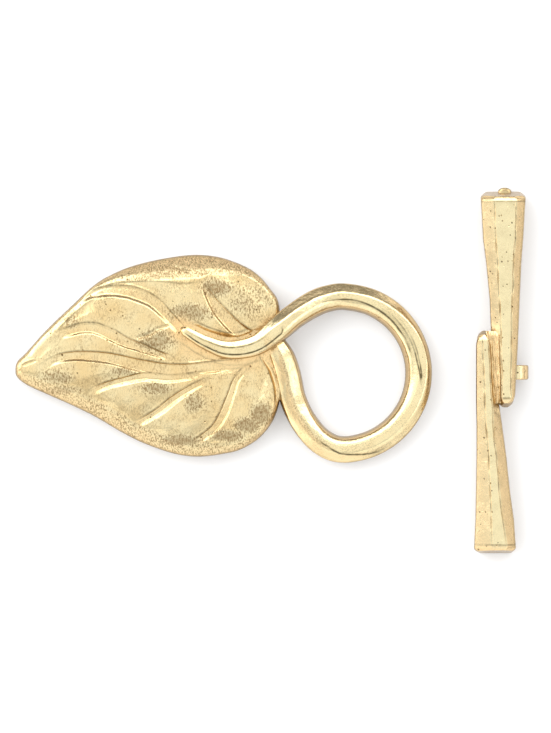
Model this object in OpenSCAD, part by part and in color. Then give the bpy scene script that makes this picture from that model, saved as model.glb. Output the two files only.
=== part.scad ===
// Leaf toggle clasp: a cast leaf whose stem loops round into the ring, and the bar that
// passes through the ring and lies across it. Both halves lie face up beside each other.
// X runs from the leaf's tip to the bar, Y along the bar, Z up from the surface they lie on.

/* [Leaf] */
// Length of the leaf from its base at the stem to its tip
leaf_l = 32.2; // [26:0.1:40]
// Width of the leaf across both lobes
leaf_w = 24.1; // [20:0.1:30]
// Height of the leaf's crown over the surface it lies on
leaf_crown = 4.7; // [4.5:0.1:6]
// Wall of the cupped leaf at its crown
leaf_wall = 1.3; // [1:0.1:1.6]
// Thickness of the leaf at its rim
rim_t = 0.9; // [0.6:0.1:1.4]
// Width of the flat foot under the rim, as it meets the surface
rim_foot = 1; // [0.6:0.1:1.6]
// Depth of the main veins
vein_depth = 0.4; // [0.2:0.05:0.6]
// Width of a main vein from lip to lip
vein_w = 1.25; // [0.9:0.05:1.8]
// How much lower the tip lies than the base, across the leaf
leaf_lean = 2.9; // [0:0.1:5]

/* [Ring and stem] */
// Opening of the ring
ring_bore = 15.1; // [12:0.1:20]
// Thickness of the cast wire of the ring
ring_wire = 3.2; // [2.6:0.1:4]
// How far the ring's outer circle would reach back over the leaf's base
ring_lap = 3.8; // [3:0.1:4.6]
// How much lower the ring's middle lies than the leaf's base
ring_drop = 3.2; // [1:0.1:5]

/* [Toggle bar] */
// Length of the whole bar over its two broad ends
bar_l = 43.4; // [38:0.1:52]
// Length over which the two wedges lie side by side
bar_lap = 9.2; // [7:0.1:13]
// How much longer the lower wedge is than the upper one
wedge_more = 0.8; // [0:0.1:2]
// Width of a wedge at its broad end
wedge_w = 5.3; // [4.4:0.1:6.4]
// Thickness of a wedge at its broad end
wedge_t = 4.3; // [4:0.1:5]
// Thickness of a wedge at its narrow end
wedge_thin = 2; // [1.6:0.1:2.2]
// How far the broad end face slopes back from front to back
end_slope = 1.3; // [0.6:0.1:2]
// Width of the casting nub on the upper end face
nub_w = 1.8; // [1:0.1:2.4]
// Height of that nub
nub_h = 0.45; // [0.2:0.05:0.8]

/* [Loops on the backs] */
// Hole of the loop behind the leaf
leaf_hole = 1.8; // [1.2:0.1:2]
// Wall round that hole
leaf_loop_wall = 1; // [0.8:0.05:1.1]
// Thickness of the leaf's loop along its hole
leaf_loop_t = 1.8; // [1.4:0.1:2.6]
// Place of the leaf's loop, as a share of the leaf's length from its base
leaf_loop_share = 0.52; // [0.45:0.01:0.6]
// Hole of the loop behind the bar
bar_hole = 1.4; // [1.1:0.05:1.5]
// Wall round that hole
bar_loop_wall = 0.75; // [0.65:0.05:0.85]
// Thickness of the bar's loop along its hole
bar_loop_t = 1.75; // [1.4:0.05:2.4]
// How far the bar's loop stands out past the bar's side
bar_loop_out = 1.3; // [1.2:0.05:1.5]

/* [Layout] */
// Clear space between the ring and the bar as they lie
set_gap = 5; // [3:0.1:12]
// Clearance left under both loops where they come near the surface
floor_clear = 0.1; // [0.05:0.01:0.3]

/* [Hidden] */
gold = [0.87, 0.72, 0.42];

// Outline of the leaf from the tip along the upper lobe, the base and the lower lobe.
// Shares: along = from base (0) to tip (1) of leaf_l, across = of leaf_w from the leaf's axis
leaf_outline = [
    // along, across
    [1.000, 0.000], [0.992, 0.044], [0.958, 0.086], [0.883, 0.188], [0.790, 0.296],
    [0.700, 0.395], [0.611, 0.449], [0.521, 0.478], [0.410, 0.494], [0.320, 0.493],
    [0.231, 0.467], [0.142, 0.411], [0.089, 0.355], [0.052, 0.291], [0.024, 0.232],
    [0.012, 0.141], [-0.004, 0.054], [-0.004, -0.030], [0.004, -0.144], [0.016, -0.260],
    [0.030, -0.330], [0.055, -0.392], [0.100, -0.452], [0.164, -0.494], [0.231, -0.508],
    [0.320, -0.510], [0.410, -0.484], [0.521, -0.420], [0.611, -0.349], [0.700, -0.268],
    [0.790, -0.198], [0.883, -0.132], [0.956, -0.078], [0.992, -0.036]
];
// Middle of the leaf, where its ribs of surface start
leaf_mid = [0.42, 0];
leaf_spokes = 104;
top_rings = 30;
back_rings = 7;

// The wire from its end under the stem, round the ring: turn about the ring's middle in
// degrees, distance as a share of ring_r, height and thickness as shares of ring_wire
round_turns = [268:20:448];
ring_course = concat(
    [[157, 0.946, 0.56, 0.80], [166, 0.805, 0.53, 0.95], [182, 0.715, 0.51, 1],
     [207, 0.727, 0.5, 1], [230, 0.805, 0.5, 1], [251, 0.927, 0.5, 1]],
    [for (turn = round_turns) [turn, 1, 0.5, 1]],
    [[461, 0.992, 0.62, 1], [473, 0.978, 0.80, 1], [490, 0.973, 1.08, 0.96]]
);
// The wire on from the ring, over the leaf to the stem's cut end: place in the leaf
// outline's shares, height as a share of leaf_crown, thickness as a share of ring_wire
stem_course = [
    [0.026, 0.083, 0.87, 0.94], [0.092, 0.024, 0.93, 0.78], [0.159, 0.004, 0.95, 0.72],
    [0.225, 0.012, 0.96, 0.64], [0.290, 0.052, 0.96, 0.52], [0.324, 0.079, 0.95, 0.46],
    [0.372, 0.122, 0.94, 0.34]
];
wire_sides = 12;
wire_steps = 3;

// Veins: each has a depth and a width, as shares of vein_depth and vein_w, and its course
// in the outline's shares. A course starts at the stem or the main rib and narrows to its
// end. The stem's bed is the shallow hollow that the stem lies in
midrib = [[0.08, -0.020], [0.16, -0.061], [0.27, -0.070], [0.40, -0.069], [0.51, -0.040],
    [0.64, 0.016], [0.73, 0.040], [0.80, 0.047], [0.86, 0.033], [0.92, -0.017]];
lower_first = [[0.30, -0.091], [0.40, -0.097], [0.49, -0.099], [0.58, -0.103],
    [0.64, -0.116], [0.70, -0.136], [0.76, -0.171]];
lower_second = [[0.23, -0.094], [0.28, -0.125], [0.35, -0.163], [0.40, -0.216],
    [0.45, -0.261], [0.50, -0.301], [0.575, -0.331]];
lower_third = [[0.127, -0.064], [0.15, -0.097], [0.18, -0.147], [0.195, -0.198],
    [0.21, -0.254], [0.23, -0.316], [0.26, -0.374], [0.31, -0.421], [0.356, -0.459]];
upper_long = [[0.42, -0.009], [0.47, 0.020], [0.53, 0.058], [0.59, 0.092],
    [0.645, 0.136], [0.70, 0.173], [0.75, 0.181], [0.80, 0.170], [0.84, 0.162]];
upper_fork = [[0.41, 0.170], [0.43, 0.156], [0.47, 0.143], [0.51, 0.116], [0.56, 0.108]];
upper_middle = [[0.375, 0.106], [0.395, 0.147], [0.44, 0.217], [0.49, 0.284],
    [0.55, 0.327], [0.60, 0.348], [0.66, 0.355], [0.71, 0.352]];
upper_lobe = [[0.13, 0.065], [0.16, 0.091], [0.21, 0.143], [0.25, 0.212],
    [0.28, 0.281], [0.30, 0.362]];
base_seam = [[0.08, 0.040], [0.073, -0.011], [0.056, -0.073], [0.042, -0.140],
    [0.030, -0.206], [0.022, -0.277]];
stem_bed = [for (r = stem_course) [r[0], r[1]]];
veins = [
    // depth, width, course
    [1.00, 1.2, midrib], [0.60, 0.9, lower_first], [0.75, 1.1, lower_second],
    [0.85, 1.1, lower_third], [0.80, 1.1, upper_long], [0.40, 0.7, upper_fork],
    [0.85, 1.2, upper_middle], [0.85, 1.1, upper_lobe], [0.70, 1.1, base_seam],
    [0.90, 2.6, stem_bed]
];

// Wedges of the bar. Shares: along = from the broad end (0) to the narrow end (1),
// the rest of wedge_w from the bar's axis: left side, left edge and right edge of the
// front face, right side
upper_wedge = [
    // along, left, front_left, front_right, right
    [0.00, -0.375, -0.080, 0.445, 0.652], [0.22, -0.318, -0.034, 0.409, 0.591],
    [0.33, -0.250, 0.000, 0.375, 0.548], [0.50, -0.170, 0.045, 0.340, 0.511],
    [0.71, -0.130, 0.086, 0.318, 0.470], [0.95, -0.050, 0.110, 0.314, 0.407],
    [1.00, 0.034, 0.136, 0.284, 0.340]
];
lower_wedge = [
    [0.00, -0.523, -0.123, 0.239, 0.432], [0.15, -0.489, -0.136, 0.125, 0.384],
    [0.27, -0.477, -0.164, 0.057, 0.298], [0.43, -0.466, -0.195, -0.016, 0.214],
    [0.57, -0.466, -0.259, -0.090, 0.120], [0.68, -0.477, -0.282, -0.114, 0.040],
    [0.94, -0.477, -0.330, -0.195, -0.060], [1.00, -0.430, -0.350, -0.240, -0.140]
];
// Heights of a wedge's corners, from its back up its side to its front, as shares of its
// thickness
wedge_levels = [0, 0.42, 0.84, 1];

// The bar's reach to either side of its axis, where its loop stands past the upper wedge
bar_left_w = -lower_wedge[0][1] * wedge_w;
bar_right_w = upper_wedge[4][4] * wedge_w + bar_loop_out;

// Places along X, from the leaf's tip to the bar's loop
ring_r = (ring_bore + ring_wire) / 2;
ring_reach = ring_bore / 2 + ring_wire;
overall_x = leaf_l + 2 * ring_reach - ring_lap + set_gap + bar_left_w + bar_right_w;
base_x = leaf_l - overall_x / 2;
base_y = leaf_lean;
ring_x = base_x + ring_reach - ring_lap;
ring_y = base_y - ring_drop;
bar_x = overall_x / 2 - bar_right_w;
lower_l = (bar_l + bar_lap + wedge_more) / 2;
upper_l = lower_l - wedge_more;

// A value of the smooth curve through four neighbours, at a share u of the middle span
function curve(a, b, c, d, u) =
    0.5 * (2 * b + (c - a) * u + (2 * a - 5 * b + 4 * c - d) * u * u
        + (3 * b - a - 3 * c + d) * u * u * u);
function closed_curve(rows, steps) = let (n = len(rows))
    [for (k = [0:steps - 1]) let (at = k * n / steps, i = floor(at))
        curve(rows[(i + n - 1) % n], rows[i], rows[(i + 1) % n], rows[(i + 2) % n], at - i)];
function open_curve(rows, steps) = let (last = len(rows) - 1)
    concat([for (i = [0:last - 1], k = [0:steps - 1])
        curve(rows[max(i - 1, 0)], rows[i], rows[i + 1], rows[min(i + 2, last)], k / steps)],
        [rows[last]]);

// Place of a point of the leaf, given in the outline's shares
function leaf_place(p) = [base_x - p[0] * leaf_l, base_y - p[0] * leaf_lean + p[1] * leaf_w];

// Distance from a point to a stretch of a vein, in half widths of that vein, which narrows
// to its end, and the depth of the flat-floored veins at a point
function to_stretch(p, a, b, wide) = let (
        ab = b - a, u = max(0, min(1, (p - a) * ab / (ab * ab))))
    norm(p - a - u * ab) / wide;
function to_vein(p, course, wide) = let (last = len(course) - 2)
    min([for (i = [0:last])
        to_stretch(p, course[i], course[i + 1], wide * (i > last - 2 ? 0.7 : 1))]);
function vein_cut(p, places) =
    vein_depth * max([for (v = places) let (far = to_vein(p, v[2], v[1] * vein_w / 2))
        v[0] * pow(max(0, 1 - pow(far, 4)), 2)]);

// Height of the leaf's face and back at a share of the way from its middle to its rim
function face_height(out) = rim_t + (leaf_crown - rim_t) * (1 - pow(out, 2.7));
function back_height(out, reach) = let (foot = 1 - rim_foot / reach)
    out > foot ? 0 : (leaf_crown - leaf_wall) * (1 - pow(out / foot, 2.5));

// The cupped blade: a face with its veins, an upright rim and a hollow back
module leaf_blade() {
    middle = leaf_place(leaf_mid);
    rim = [for (p = closed_curve(leaf_outline, leaf_spokes)) leaf_place(p)];
    places = [for (v = veins) [v[0], v[1], [for (p = v[2]) leaf_place(p)]]];
    n = leaf_spokes;
    face = [for (j = [1:top_rings], p = rim) let (
            out = j / top_rings, q = middle + out * (p - middle))
        [q[0], q[1], face_height(out) - min(1, 4 * (1 - out)) * vein_cut(q, places)]];
    back = [for (j = [back_rings:-1:1], p = rim) let (
            out = j / back_rings, q = middle + out * (p - middle))
        [q[0], q[1], back_height(out, norm(p - middle))]];
    points = concat([[middle[0], middle[1], face_height(0)]], face, back,
        [[middle[0], middle[1], leaf_crown - leaf_wall]]);
    rows = top_rings + back_rings;
    end = len(points) - 1;
    faces = concat(
        [for (k = [0:n - 1]) [0, 1 + k, 1 + (k + 1) % n]],
        [for (j = [0:rows - 2], k = [0:n - 1]) let (
                a = 1 + j * n + k, b = 1 + j * n + (k + 1) % n)
            [a, a + n, b]],
        [for (j = [0:rows - 2], k = [0:n - 1]) let (
                a = 1 + j * n + k, b = 1 + j * n + (k + 1) % n)
            [b, a + n, b + n]],
        [for (k = [0:n - 1]) [end, end - n + (k + 1) % n, end - n + k]]
    );
    polyhedron(points, faces);
}

// The wire that is both the ring and the stem, swept along its course
module ring_and_stem() {
    ring_rows = [for (r = ring_course)
        [ring_x + r[1] * ring_r * cos(r[0]), ring_y + r[1] * ring_r * sin(r[0]),
         r[2] * ring_wire, r[3] * ring_wire]];
    stem_rows = [for (r = stem_course) let (q = leaf_place(r))
        [q[0], q[1], r[2] * leaf_crown, r[3] * ring_wire]];
    rows = open_curve(concat(ring_rows, stem_rows), wire_steps);
    count = len(rows);
    sections = [for (i = [0:count - 1]) let (
            r = rows[i], ahead = rows[min(i + 1, count - 1)] - rows[max(i - 1, 0)],
            way = [ahead[0], ahead[1], ahead[2]] / norm([ahead[0], ahead[1], ahead[2]]),
            across = [-way[1], way[0], 0] / norm([way[0], way[1]]), up = cross(way, across))
        for (k = [0:wire_sides - 1]) let (turn = 360 * (k + 0.5) / wire_sides)
            [r[0], r[1], r[2]] + r[3] / 2 * (cos(turn) * across + sin(turn) * up)];
    n = wire_sides;
    faces = concat(
        [[for (k = [0:n - 1]) k]],
        [for (i = [0:count - 2], k = [0:n - 1]) let (a = i * n + k, b = i * n + (k + 1) % n)
            [a, b + n, b]],
        [for (i = [0:count - 2], k = [0:n - 1]) let (a = i * n + k, b = i * n + (k + 1) % n)
            [a, a + n, b + n]],
        [[for (k = [n - 1:-1:0]) (count - 1) * n + k]]
    );
    polyhedron(sections, faces);
}

// A flat-sided loop that stands on edge, its hole along Y, closed above by what carries it
module loop_body(hole, wall, thick) {
    rotate([90, 0, 0]) cylinder(d = hole + 2 * wall, h = thick, center = true, $fn = 48);
}
module loop_bore(hole, thick) {
    rotate([90, 0, 0]) cylinder(d = hole, h = thick + hole, center = true, $fn = 48);
}
function loop_height(hole, wall) = floor_clear + wall + hole / 2;

module leaf_ring() {
    loop_at = leaf_place([leaf_loop_share, 0]);
    loop_z = loop_height(leaf_hole, leaf_loop_wall);
    color(gold) difference() {
        union() {
            leaf_blade();
            ring_and_stem();
            translate([loop_at[0], loop_at[1], loop_z])
                loop_body(leaf_hole, leaf_loop_wall, leaf_loop_t);
        }
        translate([loop_at[0], loop_at[1], loop_z]) loop_bore(leaf_hole, leaf_loop_t);
    }
}

// One wedge of the bar, broad end at Y = 0, running towards +Y
module wedge(rows, long) {
    count = len(rows);
    n = 8;
    lv = wedge_levels;
    points = [for (i = [0:count - 1]) let (
            r = rows[i], t = wedge_t + (wedge_thin - wedge_t) * r[0],
            low = wedge_t - t, lead = i == 0 ? end_slope / wedge_t : 0, y = r[0] * long)
        for (c = [[r[2], lv[3]], [r[3], lv[3]], [r[4], lv[2]], [r[4], lv[1]],
                  [r[3], lv[0]], [r[2], lv[0]], [r[1], lv[1]], [r[1], lv[2]]])
            [c[0] * wedge_w, y + lead * c[1] * t, low + c[1] * t]];
    faces = concat(
        [[for (k = [0:n - 1]) k]],
        [for (i = [0:count - 2], k = [0:n - 1]) let (a = i * n + k, b = i * n + (k + 1) % n)
            [a, a + n, b]],
        [for (i = [0:count - 2], k = [0:n - 1]) let (a = i * n + k, b = i * n + (k + 1) % n)
            [b, a + n, b + n]],
        [[for (k = [n - 1:-1:0]) (count - 1) * n + k]]
    );
    polyhedron(points, faces);
}

module toggle_bar() {
    loop_z = loop_height(bar_hole, bar_loop_wall);
    loop_r = bar_hole / 2 + bar_loop_wall;
    loop_x = bar_right_w - loop_r;
    back_z = wedge_t - wedge_thin;
    nub_x = (upper_wedge[0][2] + upper_wedge[0][3]) / 2 * wedge_w;
    nub_z = nub_w / 2 + floor_clear;
    color(gold) translate([bar_x, -nub_h / 2, 0]) difference() {
        union() {
            translate([0, bar_l / 2, 0]) mirror([0, 1, 0]) wedge(upper_wedge, upper_l);
            translate([0, -bar_l / 2, 0]) wedge(lower_wedge, lower_l);
            translate([loop_x, 0, loop_z]) loop_body(bar_hole, bar_loop_wall, bar_loop_t);
            // Root of the loop, up into the back of the wedge
            translate([loop_x - loop_r, -bar_loop_t / 2, loop_z])
                cube([loop_r, bar_loop_t, back_z + wedge_thin / 2 - loop_z]);
            // Casting nub, low on the upper end face
            translate([nub_x, bar_l / 2 + nub_h - nub_w, nub_z])
                rotate([-90, 0, 0]) cylinder(d = nub_w, h = nub_w, $fn = 32);
        }
        translate([loop_x, 0, loop_z]) loop_bore(bar_hole, bar_loop_t);
    }
}

leaf_ring();
toggle_bar();
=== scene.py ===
# Leaf toggle clasp in gold-plated cast brass, as it lies on a white table: the leaf half
# with its ring, and the toggle bar beside it. Metres, in the part's own frame.
import math

import bmesh
import bpy
import numpy as np
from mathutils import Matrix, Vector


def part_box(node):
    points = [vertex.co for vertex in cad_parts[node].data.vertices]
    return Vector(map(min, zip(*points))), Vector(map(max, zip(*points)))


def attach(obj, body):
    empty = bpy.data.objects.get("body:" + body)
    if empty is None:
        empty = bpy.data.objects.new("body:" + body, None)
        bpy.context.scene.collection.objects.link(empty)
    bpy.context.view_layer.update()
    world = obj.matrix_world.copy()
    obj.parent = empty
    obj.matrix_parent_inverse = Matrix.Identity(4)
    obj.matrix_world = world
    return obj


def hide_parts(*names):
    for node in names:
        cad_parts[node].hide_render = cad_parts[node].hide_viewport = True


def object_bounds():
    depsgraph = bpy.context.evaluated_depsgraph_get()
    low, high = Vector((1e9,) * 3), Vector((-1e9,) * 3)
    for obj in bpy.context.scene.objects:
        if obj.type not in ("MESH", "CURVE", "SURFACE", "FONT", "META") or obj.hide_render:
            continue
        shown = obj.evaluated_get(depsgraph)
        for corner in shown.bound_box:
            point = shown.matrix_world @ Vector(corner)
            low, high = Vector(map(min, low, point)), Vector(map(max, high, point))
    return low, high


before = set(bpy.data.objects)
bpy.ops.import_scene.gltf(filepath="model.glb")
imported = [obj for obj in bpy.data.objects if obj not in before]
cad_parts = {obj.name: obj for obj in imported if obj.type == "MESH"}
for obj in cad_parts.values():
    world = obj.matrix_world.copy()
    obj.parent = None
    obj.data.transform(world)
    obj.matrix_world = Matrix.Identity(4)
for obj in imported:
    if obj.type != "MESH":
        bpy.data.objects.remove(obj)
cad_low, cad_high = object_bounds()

# The view. The camera looks straight down through a long lens, and its frame is the
# photograph's: 551 by 733 pixels, each 0.12 mm of the table.
mm = 0.001
photo_height = 733
pixel = 0.12 * mm
view_middle = (0.42 * mm, 0.48 * mm)
camera_height = 1.2
scene = bpy.context.scene
camera_data = bpy.data.cameras.new("camera")
camera_data.lens = camera_data.sensor_width * camera_height / (photo_height * pixel)
camera_data.clip_start, camera_data.clip_end = 0.01, 20
camera = bpy.data.objects.new("camera", camera_data)
camera.location = (view_middle[0], view_middle[1], camera_height)
scene.collection.objects.link(camera)
scene.camera = camera
scene.view_settings.view_transform = "Standard"

# The table: a plain, matt white sheet under the clasp, so wide that no edge is in view.
# It is lit a little from below, as on a light table, which keeps it white.
table_size = 1.6
table_white = (0.76, 0.76, 0.76, 1)
table_glow = 0.20
table_mesh = bpy.data.meshes.new("table")
table_half = table_size / 2
table_mesh.from_pydata(
    [(x * table_half, y * table_half, 0) for x, y in ((-1, -1), (1, -1), (1, 1), (-1, 1))],
    [], [(0, 1, 2, 3)])
table = bpy.data.objects.new("table", table_mesh)
scene.collection.objects.link(table)
table_paint = bpy.data.materials.new("white_table")
table_paint.use_nodes = True
paint = table_paint.node_tree.nodes["Principled BSDF"]
paint.inputs["Base Color"].default_value = table_white
paint.inputs["Roughness"].default_value = 0.9
paint.inputs["Specular IOR Level"].default_value = 0.1
paint.inputs["Emission Color"].default_value = (1, 1, 1, 1)
paint.inputs["Emission Strength"].default_value = table_glow
table_mesh.materials.append(table_paint)

# The studio light: a pale tent with soft panels in it. A white one stands behind the
# clasp, the backdrop below it is darker, and the seam between the overhead panel and the
# front one shows in polished metal as a thin dark line.
tent_base = 0.81
tent_panels = [
    # zenith, azimuth, reach round, reach up and down, softness, brightness
    (66, -90, 80, 30, 10, 1.22),  # the front side
    (0, 0, 200, 29, 8, 1.09),  # overhead
    (80, 180, 42, 13, 10, 2.0),  # low on the left
    (66, 3, 42, 26, 14, 1.03),  # the right side
    (92, -5, 66, 12, 8, 0.30),  # the dark foot of the right side
    (84, 102, 50, 19, 16, 0.25),  # the darker backdrop
    (54, 100, 71, 13.5, 7, 2.9),  # the white one behind
    (46, -12, 22, 6, 6, 2.3),  # a bright strip on the right
    (38, -108, 52, 6.0, 4, 0.70),  # the seam in front
    (38, 163, 21, 8, 6, 1.6),  # a bright strip on the left
]
tent = bpy.data.worlds.new("tent")
tent.use_nodes = True
scene.world = tent
tent_tree = tent.node_tree
way = tent_tree.nodes.new("ShaderNodeTexCoord").outputs["Generated"]
tent_light = tent_tree.nodes.new("ShaderNodeValue").outputs["Value"]
tent_light.default_value = tent_base


def combine(tree, operation, first, second):
    """Works out one value from two, each a number or a socket."""
    node = tree.nodes.new("ShaderNodeMath")
    node.operation = operation
    for socket, value in zip(node.inputs, (first, second)):
        if isinstance(value, (int, float)):
            socket.default_value = value
        else:
            tree.links.new(value, socket)
    return node.outputs["Value"]


def tent_panel(light, zenith, azimuth, wide, high, soft, value):
    """Lays a soft-edged panel over the tent: its middle, how far it reaches round the
    tent to either side and up and down, and its soft edge, in degrees; its brightness."""

    def toward(axis):
        dot = tent_tree.nodes.new("ShaderNodeVectorMath")
        dot.operation = "DOT_PRODUCT"
        dot.inputs[1].default_value = axis
        tent_tree.links.new(way, dot.inputs[0])
        return dot.outputs["Value"]

    a = math.radians(azimuth)
    round_it = combine(tent_tree, "ARCTAN2", toward((-math.sin(a), math.cos(a), 0)),
                       toward((math.cos(a), math.sin(a), 0)))
    from_top = combine(tent_tree, "ARCCOSINE", toward((0, 0, 1)), 0)
    down = combine(tent_tree, "SUBTRACT", from_top, math.radians(zenith))
    cover = 1.0
    for angle, reach in ((round_it, wide), (down, high)):
        edge = tent_tree.nodes.new("ShaderNodeMapRange")
        edge.interpolation_type = "SMOOTHSTEP"
        edge.inputs["From Min"].default_value = math.radians(reach + soft / 2)
        edge.inputs["From Max"].default_value = math.radians(reach - soft / 2)
        tent_tree.links.new(combine(tent_tree, "ABSOLUTE", angle, 0), edge.inputs["Value"])
        cover = combine(tent_tree, "MULTIPLY", cover, edge.outputs["Result"])
    change = combine(tent_tree, "MULTIPLY", cover, combine(tent_tree, "SUBTRACT", value, light))
    return combine(tent_tree, "ADD", light, change)


for panel in tent_panels:
    tent_light = tent_panel(tent_light, *panel)
tent_tree.links.new(tent_light, tent_tree.nodes["Background"].inputs["Strength"])
tent_tree.nodes["Background"].inputs["Color"].default_value = (1, 1, 1, 1)
# A broad lamp from the upper left gives the shadows their side. The metal doesn't show it.
lamp = bpy.data.objects.new("lamp", bpy.data.lights.new("lamp", "SUN"))
lamp.data.energy, lamp.data.angle = 0.75, math.radians(42)
lamp.rotation_euler = (math.radians(40), 0, math.radians(-115))
lamp.visible_glossy = False
scene.collection.objects.link(lamp)

# The leaf's blade: cast brass, about 1.3 mm thick in the middle and 3 to 3.5 mm just inside
# its rim, plated pale gold, in one casting with the ring's wire. It is cupped, its veins are
# sunk between puffed panels, its upper rim is rolled down and its lower rim left as a flange.
# Its edge is an upright wall. Sizes are in millimetres.
leaf_long, leaf_wide, leaf_lean = 32.2, 24.1, 2.9
leaf_crown, leaf_wall, rim_foot = 4.7, 1.3, 1.0
tip_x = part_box("leaf_ring")[0].x / mm
base_x, base_y = tip_x + leaf_long, leaf_lean
# Its plated skin keeps the mould's fine grain and a scatter of pits. The gold is pale on
# the high places, deeper in hollows as painted bounce light, and darker on slopes and steep
# sides as painted shade.
gold_pale = (0.93, 0.83, 0.51, 1)
gold_deep = (0.86, 0.65, 0.325, 1)
# Painted shade: the tone of slopes, and the darker tone of steep sides, which also darkens the
# grain's speckle
gold_slope_shade = (0.86, 0.62, 0.33, 1)
gold_shade_and_speckle = (0.35, 0.24, 0.115, 1)
# Painted bounce light: the orange of gold reflected in its own hollows
gold_hollow = (0.95, 0.65, 0.31, 1)
pit_dark = (0.26, 0.17, 0.07, 1)
# The fine dark lines: painted shade in creases and at edges, painted dark reflections along the
# wire
line_shade_and_reflection = (0.16, 0.125, 0.06, 1)
# How often the skin changes in a metre: its tone, the patches of grain, the swell of its
# relief, the speckle, the cells that pits lie in, where pits gather, and breaks in lines
tone_scale, patch_scale, swell_scale, speckle_scale = 240, 520, 1400, 6200
pit_scale, gather_scale, break_scale = 1500, 300, 1100
relief_high = 0.04 * mm


def gold_plate(name, grain, gloss, pits, deeper, flat, brush):
    """Pale gold over a cast skin, with light and shade painted into its colour. Grain is the
    relief's strength, gloss the roughness range, pits the share of cells with a pit, deeper
    how much of the deeper tone; flat is the upward lean above which the painted shade of the
    slopes stops, brush how the grain runs."""
    metal = bpy.data.materials.new(name)
    metal.use_nodes = True
    tree = metal.node_tree
    add, join = tree.nodes.new, tree.links.new
    skin = tree.nodes["Principled BSDF"]
    skin.inputs["Metallic"].default_value = 1.0
    place = add("ShaderNodeTexCoord").outputs["Object"]

    def noise(scale, detail, roughness=0.6, at=place):
        node = add("ShaderNodeTexNoise")
        node.inputs["Scale"].default_value = scale
        node.inputs["Detail"].default_value = detail
        node.inputs["Roughness"].default_value = roughness
        join(at, node.inputs["Vector"])
        return node.outputs["Fac"]

    def span(value, low, high, to_low, to_high):
        node = add("ShaderNodeMapRange")
        for key, number in zip(("From Min", "From Max", "To Min", "To Max"),
                               (low, high, to_low, to_high)):
            node.inputs[key].default_value = number
        join(value, node.inputs["Value"])
        return node.outputs["Result"]

    def times(first, second):
        return combine(tree, "MULTIPLY", first, second)

    def tint(base, colour, amount):
        node = add("ShaderNodeMix")
        node.data_type = "RGBA"
        if isinstance(base, tuple):
            node.inputs["A"].default_value = base
        else:
            join(base, node.inputs["A"])
        node.inputs["B"].default_value = colour
        join(amount, node.inputs["Factor"])
        return node.outputs["Result"]

    def mark(name):
        node = add("ShaderNodeAttribute")
        node.attribute_name = name
        return node.outputs["Fac"]

    # Pits: a few round holes, one in some of the cells
    cells = add("ShaderNodeTexVoronoi")
    cells.inputs["Scale"].default_value = pit_scale
    join(place, cells.inputs["Vector"])
    chance = add("ShaderNodeSeparateColor")
    join(cells.outputs["Color"], chance.inputs["Color"])
    gather = span(noise(gather_scale, 2), 0.35, 0.65, 0.2, 1.8)
    odds = combine(tree, "DIVIDE", chance.outputs["Red"], gather)
    size = span(chance.outputs["Green"], 0, 1, 0.09, 0.21)
    depth = span(combine(tree, "DIVIDE", cells.outputs["Distance"], size), 0.5, 1.1, 1.0, 0.0)
    pit = times(combine(tree, "LESS_THAN", odds, pits), depth)
    # Grain: fine speckle over a softer unevenness, strong where the mould left it coarse
    stroke = add("ShaderNodeVectorMath")
    stroke.operation = "MULTIPLY"
    stroke.inputs[1].default_value = (1, brush, 1)
    join(place, stroke.inputs[0])
    speckle = noise(speckle_scale, 3, 0.75, stroke.outputs["Vector"])
    swell = noise(swell_scale, 2)
    # Coarse places: rougher, and painted darker as shade
    coarse = mark("coarse")
    rough = combine(tree, "ADD", span(noise(patch_scale, 3), 0.42, 0.62, 0.12, 0.6), coarse)
    # Colour: the tones one over the other, with painted shade and painted bounce light among
    # them, then the dark lines and the pits
    facing = add("ShaderNodeNewGeometry")
    height = add("ShaderNodeSeparateXYZ")
    join(facing.outputs["Normal"], height.inputs["Vector"])
    upward = height.outputs["Z"]
    tone = span(noise(tone_scale, 3), 0.35, 0.65, deeper * 0.4, deeper)
    dark = times(rough, span(speckle, 0.48, 0.58, 0.04, 0.80 * grain))
    line = times(mark("line"), span(noise(break_scale, 2), 0.38, 0.60, 0.45, 1.0))
    colour = gold_pale
    for over, amount in (
            (gold_deep, tone), (gold_pale, times(coarse, 0.55)),
            # painted shade on coarse places
            (gold_shade_and_speckle, span(coarse, 0.7, 2.0, 0.0, 0.62)),
            # painted bounce light in hollows
            (gold_hollow, times(mark("hollow"), 0.42)),
            # painted shade on slopes, and darker painted shade on steep sides
            (gold_slope_shade, span(upward, flat - 0.2, flat, 0.9, 0.0)),
            (gold_shade_and_speckle, span(upward, 0.30, 0.76, 0.95, 0.0)),
            # the grain's dark speckle, the painted dark lines, and the pits
            (gold_shade_and_speckle, dark), (line_shade_and_reflection, line), (pit_dark, pit)):
        colour = tint(colour, over, amount)
    join(colour, skin.inputs["Base Color"])
    join(span(rough, 0.2, 1.0, *gloss), skin.inputs["Roughness"])
    # Relief
    relief = times(times(speckle, rough), 0.55 * grain)
    relief = combine(tree, "ADD", relief, times(swell, 0.9))
    relief = combine(tree, "SUBTRACT", relief, times(pit, 1.6))
    bump = add("ShaderNodeBump")
    bump.inputs["Distance"].default_value = relief_high
    bump.inputs["Strength"].default_value = 1.0
    join(relief, bump.inputs["Height"])
    join(bump.outputs["Normal"], skin.inputs["Normal"])
    return metal


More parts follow.
